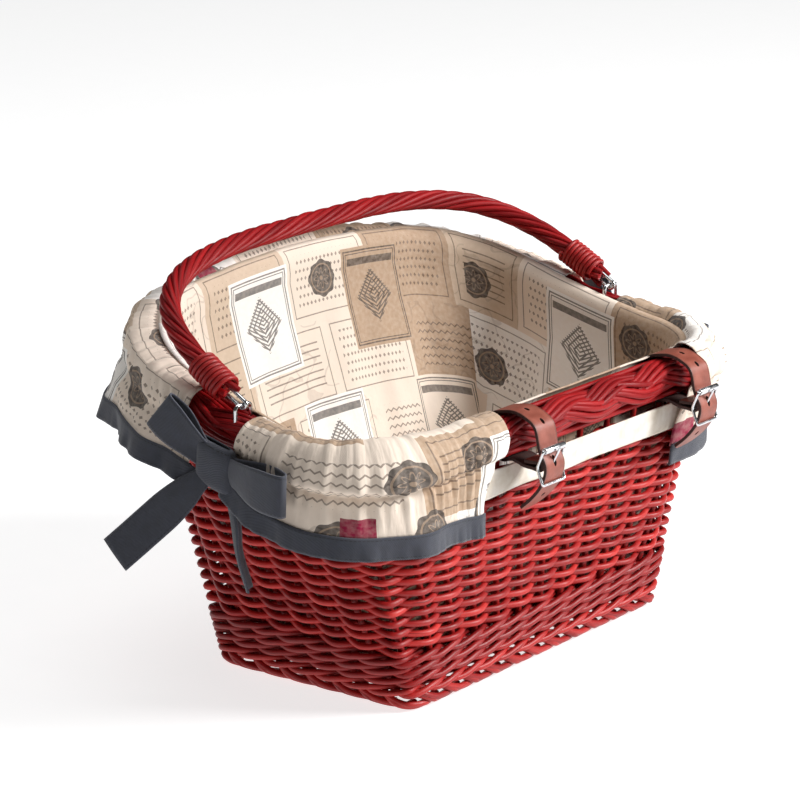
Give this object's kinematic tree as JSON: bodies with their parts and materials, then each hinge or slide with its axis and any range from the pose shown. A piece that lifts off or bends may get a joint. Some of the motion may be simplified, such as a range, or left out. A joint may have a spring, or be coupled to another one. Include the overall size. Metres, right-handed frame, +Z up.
{
  "type": "bicycle basket",
  "caption": "Woven willow handlebar basket with a swept rim, cloth liner and tied skirt, swinging bail handle and two buckled leather straps.",
  "frame": {"origin": "on the floor under the middle of the whole basket", "axes": "+Z up, X along the basket, the strap side that hangs on the handlebar faces -Y, the raised front faces +Y"},
  "size_m": [0.5698, 0.3452, 0.312],
  "materials": {
    "willow": "satin stained willow",
    "willow_dark": "satin stained willow, darker",
    "cloth": "printed cotton",
    "tape": "woven tape",
    "leather": "smooth brown leather",
    "steel": "bright plated wire"
  },
  "bodies": {
    "basket": {"rear_stakes_and_foot": "willow_dark", "right_stakes_and_foot": "willow_dark", "front_stakes_and_foot": "willow_dark", "left_stakes_and_foot": "willow_dark", "base_panel": "willow", "wale_rod_1": "willow_dark", "wale_rod_2": "willow_dark", "wale_rod_3": "willow_dark", "randing_rod_1": "willow", "randing_rod_2": "willow", "randing_rod_3": "willow", "randing_rod_4": "willow", "randing_rod_5": "willow", "randing_rod_6": "willow", "randing_rod_7": "willow", "randing_rod_8": "willow", "randing_rod_9": "willow", "randing_rod_10": "willow", "randing_rod_11": "willow", "randing_rod_12": "willow", "rim_border": "willow", "left_rim_staple": "steel", "right_rim_staple": "steel", "left_strap": "leather", "right_strap": "leather", "left_buckle_frame": "steel", "right_buckle_frame": "steel", "liner_bag": "cloth", "front_skirt": "cloth", "rear_left_skirt": "cloth", "rear_right_skirt": "cloth", "front_trim": "tape", "rear_left_trim": "tape", "rear_right_trim": "tape", "rear_band": "cloth", "left_bow_knot": "tape", "left_bow_loop_front": "tape", "left_bow_loop_rear": "tape", "left_bow_tail_front": "tape", "left_bow_tail_down": "tape", "right_bow_knot": "tape", "right_bow_loop_front": "tape", "right_bow_loop_rear": "tape", "right_bow_tail_front": "tape", "right_bow_tail_down": "tape"},
    "handle": {"handle_rope": "willow", "left_binding": "willow_dark", "right_binding": "willow_dark", "left_handle_eye": "steel", "right_handle_eye": "steel"},
    "left_prong": {"left_buckle_prong": "steel"},
    "right_prong": {"right_buckle_prong": "steel"},
    "left_roller": {"left_buckle_roller": "steel"},
    "right_roller": {"right_buckle_roller": "steel"}
  },
  "joints": [
    {"name": "handle_swing", "type": "hinge", "parent": "basket", "child": "handle", "pos_m": [0, -0.01525, 0.23198], "axis": [1, 0, 0], "range_deg": [0, 140]},
    {"name": "left_prong_pivot", "type": "hinge", "parent": "basket", "child": "left_prong", "pos_m": [-0.052, -0.16125, 0.176], "axis": [1, 0, 0], "range_deg": [0, 5]},
    {"name": "right_prong_pivot", "type": "hinge", "parent": "basket", "child": "right_prong", "pos_m": [0.144, -0.16125, 0.176], "axis": [1, 0, 0], "range_deg": [0, 5]},
    {"name": "left_roller_spin", "type": "hinge", "parent": "basket", "child": "left_roller", "pos_m": [-0.052, -0.16625, 0.189], "axis": [1, 0, 0], "continuous": true},
    {"name": "right_roller_spin", "type": "hinge", "parent": "basket", "child": "right_roller", "pos_m": [0.144, -0.16625, 0.189], "axis": [1, 0, 0], "continuous": true}
  ]
}
